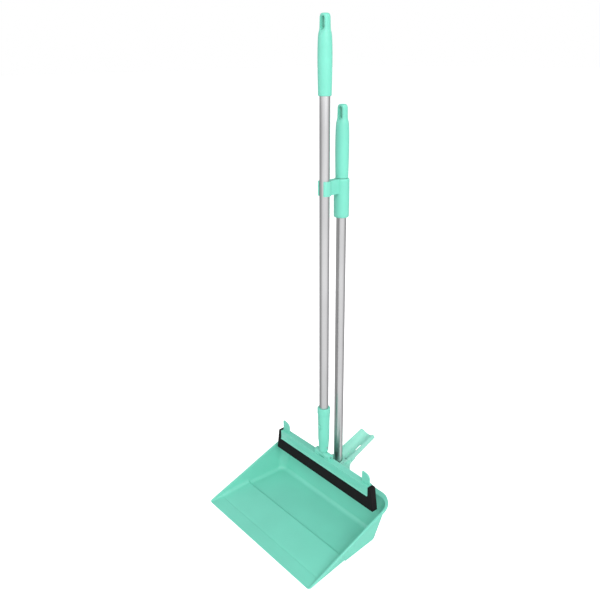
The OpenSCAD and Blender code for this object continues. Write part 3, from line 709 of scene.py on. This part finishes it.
def tray():
    """The tray: a bar with rounded lower edges, cut by a trough, a slot and the pole's well."""
    section = [(-TRAY_HALF, 12), (-TRAY_HALF, TRAY_BOTTOM), (TRAY_HALF, TRAY_BOTTOM), (TRAY_HALF, 12)]
    body = prism("pole_tray", rounded(section, [0, 4, 4, 0], 6), 6, TRAY_LEN, MINT, along_tray)
    combine(body, [tray_root()] + flares(), "UNION")
    slope = (TRAY_TOP_ROOT - TRAY_TOP_END) / TRAY_LEN
    end = TRAY_LEN - 0.2
    above = [(-30, 60), (-30, TRAY_TOP_ROOT + 30 * slope), (end, TRAY_TOP_END), (end, -4),
             (TRAY_LEN + 20, -4), (TRAY_LEN + 20, 60)]
    channel = arc(0, 0, CHANNEL_R, 2.5, 357.5, 47)
    trough = arc(0, TROUGH_AXIS, TROUGH_R, 2, 357, 71)
    slot = slot_outline(SLOT_X, SLOT_T, SLOT_REACH, SLOT_R, 16)
    cutters = [prism("slot", slot, -THROUGH, THROUGH, MINT, in_tray)] + well_cutters()
    cutters.append(across("top", rounded(above, [0, 0, TIP_R, 0, 0, 0], 6), THROUGH, True))
    cutters.append(prism("channel", channel, 0.3, TROUGH_START + 4, MINT, along_tray))
    cutters.append(prism("trough", trough, TROUGH_START, TRAY_LEN + 5, MINT, along_tray))
    combine(body, cutters + pin_cutters(), "DIFFERENCE")
    return body


pan = pan_tub()
combine(pan, well_cutters(), "DIFFERENCE")
shade_smooth(pan)
keep_flats_flat(pan)
pan_tray = soften(tray(), 0.7, 3)
for piece in (pan, pan_tray):
    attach(piece, "pan")
    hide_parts("pan_shell")


# ---- grips -----------------------------------------------------------------

GRIP_LEN, HANG_HALF = 152.0, 7.5
# Where the round body turns into the flat end, and half of the depth before that
BLEND_FROM, BLEND_LEN, BODY_HALF = 112, 14, 14.9
# The hanging hole: how far its upper end is from the grip's top, half of the distance between its
# round ends, and its radius
HOLE_DOWN, HOLE_REACH, HOLE_R = 5, 7.5, 4.5
# The scoops round it on both sides: their radius, and how far from the middle they begin
SCOOP_R, SCOOP_FROM = 6.2, 5.9
# The blind socket for the pole
POLE_SOCKET_R, POLE_SOCKET_DEPTH = 11.1, 92.5
# The grip's radius against the height above its open end
GRIP_RADIUS = [(0, 12.8), (0.5, 13.5), (1.4, 13.8), (8, 13.97), (17, 14.2), (26, 14.38), (42, 14.66),
               (58, 14.8), (79, 14.8), (90, 14.62), (100, 14.33), (108, 13.9), (113, 13.5), (118, 12.7),
               (121, 11.9), (124, 11.5), (129, 11.27), (138, 11.1), (145, 10.8), (148.5, 10.0),
               (150.6, 8.6), (151.6, 7.0), (152, 5.2)]


def from_front(u, z, w):
    """An outline seen from the front, extruded from front to back."""
    return (u, w, z)


def grip(node, y):
    """A tapered grip whose round body blends into a flat hanging end, round an axis at y."""
    bottom = box_mm(node)[0].z
    around = 96
    verts, faces = [], []
    steps = 76
    heights = sorted({z for z, _ in GRIP_RADIUS} | {GRIP_LEN * i / steps for i in range(steps)})
    for z in heights:
        r = along(GRIP_RADIUS, z)
        share = max(0.0, min(1.0, (z - BLEND_FROM) / BLEND_LEN))
        share = share * share * (3 - 2 * share)
        flat = BODY_HALF * (1 - share) + HANG_HALF * share
        for i in range(around):
            turn = 2 * math.pi * i / around
            side, front = r * math.cos(turn), r * math.sin(turn)
            # A soft limit on the depth keeps the flats' edges rounded
            front = front / (1 + abs(front / flat) ** 8) ** 0.125 if share > 0 else front
            verts.append((side, y + front, bottom + z))
    rings = len(heights)
    for k in range(rings - 1):
        for i in range(around):
            j = (i + 1) % around
            faces.append([k * around + i, k * around + j,
                          (k + 1) * around + j, (k + 1) * around + i])
    faces += [list(range(around)), list(range((rings - 1) * around, rings * around))]
    body = new_piece(node + "_moulding", verts, faces, MINT)
    socket = turned("socket", [(0, -2), (POLE_SOCKET_R, -2), (POLE_SOCKET_R, POLE_SOCKET_DEPTH),
                               (0, POLE_SOCKET_DEPTH)], MINT)
    for v in socket.data.vertices:
        v.co += Vector((0, y, bottom)) * MM
    middle = bottom + GRIP_LEN - HOLE_DOWN - (HOLE_R + HOLE_REACH)
    reach = 20
    hole = prism("hole", slot_outline(0, middle, HOLE_REACH, HOLE_R, 14), y - reach, y + reach, MINT,
                 from_front)
    scoops = [prism("scoop", slot_outline(0, middle, HOLE_REACH, SCOOP_R, 14), y + side * reach,
                    y + side * SCOOP_FROM, MINT, from_front) for side in (-1, 1)]
    combine(body, [hole] + scoops + [socket], "DIFFERENCE")
    return soften(body, 0.8, 3, 40)


def centre_of(node):
    """The middle of a CAD node's box, in millimetres."""
    low, high = box_mm(node)
    return (low + high) / 2


for node, tube, body in (("pan_grip", "pan_pole_tube", "pan_pole"),
                         ("sweeper_grip", "sweeper_tube", "sweeper")):
    piece = grip(node, centre_of(tube).y)
    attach(piece, body)
    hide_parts(node)


# ---- sweeper socket --------------------------------------------------------

# How far the recess reaches past the button, and how far its floor is from the tube's axis
RECESS_MARGIN, RECESS_FLOOR = 1.3, 13.1


def socket_with_recess():
    """The socket with a shallow recess round its snap button."""
    node = nodes["sweeper_socket"]
    piece = bpy.data.objects.new("socket_moulding", node.data.copy())
    bpy.context.scene.collection.objects.link(piece)
    piece.data.materials.clear()
    piece.data.materials.append(MINT)
    button = centre_of("snap_button")
    low, high = box_mm("snap_button")
    axis_y = centre_of("sweeper_tube").y
    r = (high.x - low.x) / 2
    outline = slot_outline(0, button.z, (high.z - low.z) / 2 - r, r + RECESS_MARGIN, 16)
    recess = prism("recess", outline, axis_y - 30, axis_y - RECESS_FLOOR, MINT, from_front)
    combine(piece, [recess], "DIFFERENCE")
    return soften(piece, 0.35, 2)


socket = socket_with_recess()
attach(socket, "sweeper")
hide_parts("sweeper_socket")


# ---- foam blade ------------------------------------------------------------

# How much each end leans in, the gap to the clamp, and the tongue inside the clamp: how far in from
# the clamp's ends, how far up, and its front and back
BLADE_TAPER, CLAMP_GAP = 9, 0.2
TONGUE_IN, TONGUE_UP, TONGUE_FRONT, TONGUE_BACK = 3.4, 22, 2.6, 13


def foam_blade():
    """The blade as one foam moulding: a long strip with ends that stand up past the clamp."""
    low, high = box_mm("foam_blade")
    clamp_low, clamp_high = box_mm("head_shell")
    half, top_half = high.x, high.x - BLADE_TAPER
    clamp = clamp_high.x + CLAMP_GAP
    outline = [(-half, low.z), (half, low.z), (top_half, high.z), (clamp, high.z), (clamp, clamp_low.z),
               (-clamp, clamp_low.z), (-clamp, high.z), (-top_half, high.z)]
    body = prism("foam_strip", rounded(outline, [2, 2, 2.5, 1, 1.2, 1.2, 1, 2.5], 4), low.y, high.y,
                 FOAM, from_front)
    shade_smooth(body)
    bevel = body.modifiers.new("bevel", "BEVEL")
    bevel.width = 1.2 * MM
    bevel.segments = 3
    bevel.limit_method = "ANGLE"
    bevel.angle_limit = math.radians(50)
    apply_modifiers(body)
    inner, foot, top = clamp - TONGUE_IN, clamp_low.z - 2, clamp_low.z + TONGUE_UP
    tongue = prism("tongue", [(-inner, foot), (inner, foot), (inner, top), (-inner, top)],
                   low.y + TONGUE_FRONT, low.y + TONGUE_BACK, FOAM, from_front)
    combine(body, [tongue], "UNION")
    shade_smooth(body)
    return body


blade = foam_blade()
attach(blade, "head")
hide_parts("foam_blade")


# ---- finish ----------------------------------------------------------------

for name in ("pole_foot", "clip_sleeve", "snap_button", "hinge_neck", "head_shell", "head_back_plate"):
    dress(name, MINT, 0.5)
for name in ("pan_pole_tube", "sweeper_tube"):
    dress(name, ALUMINIUM, 0.15)
for name in ("pivot_pin", "sleeve_screw", "button_spring", "neck_pin", "head_screws", "hinge_pin"):
    dress(name, STEEL, 0.1)

bpy.context.view_layer.update()
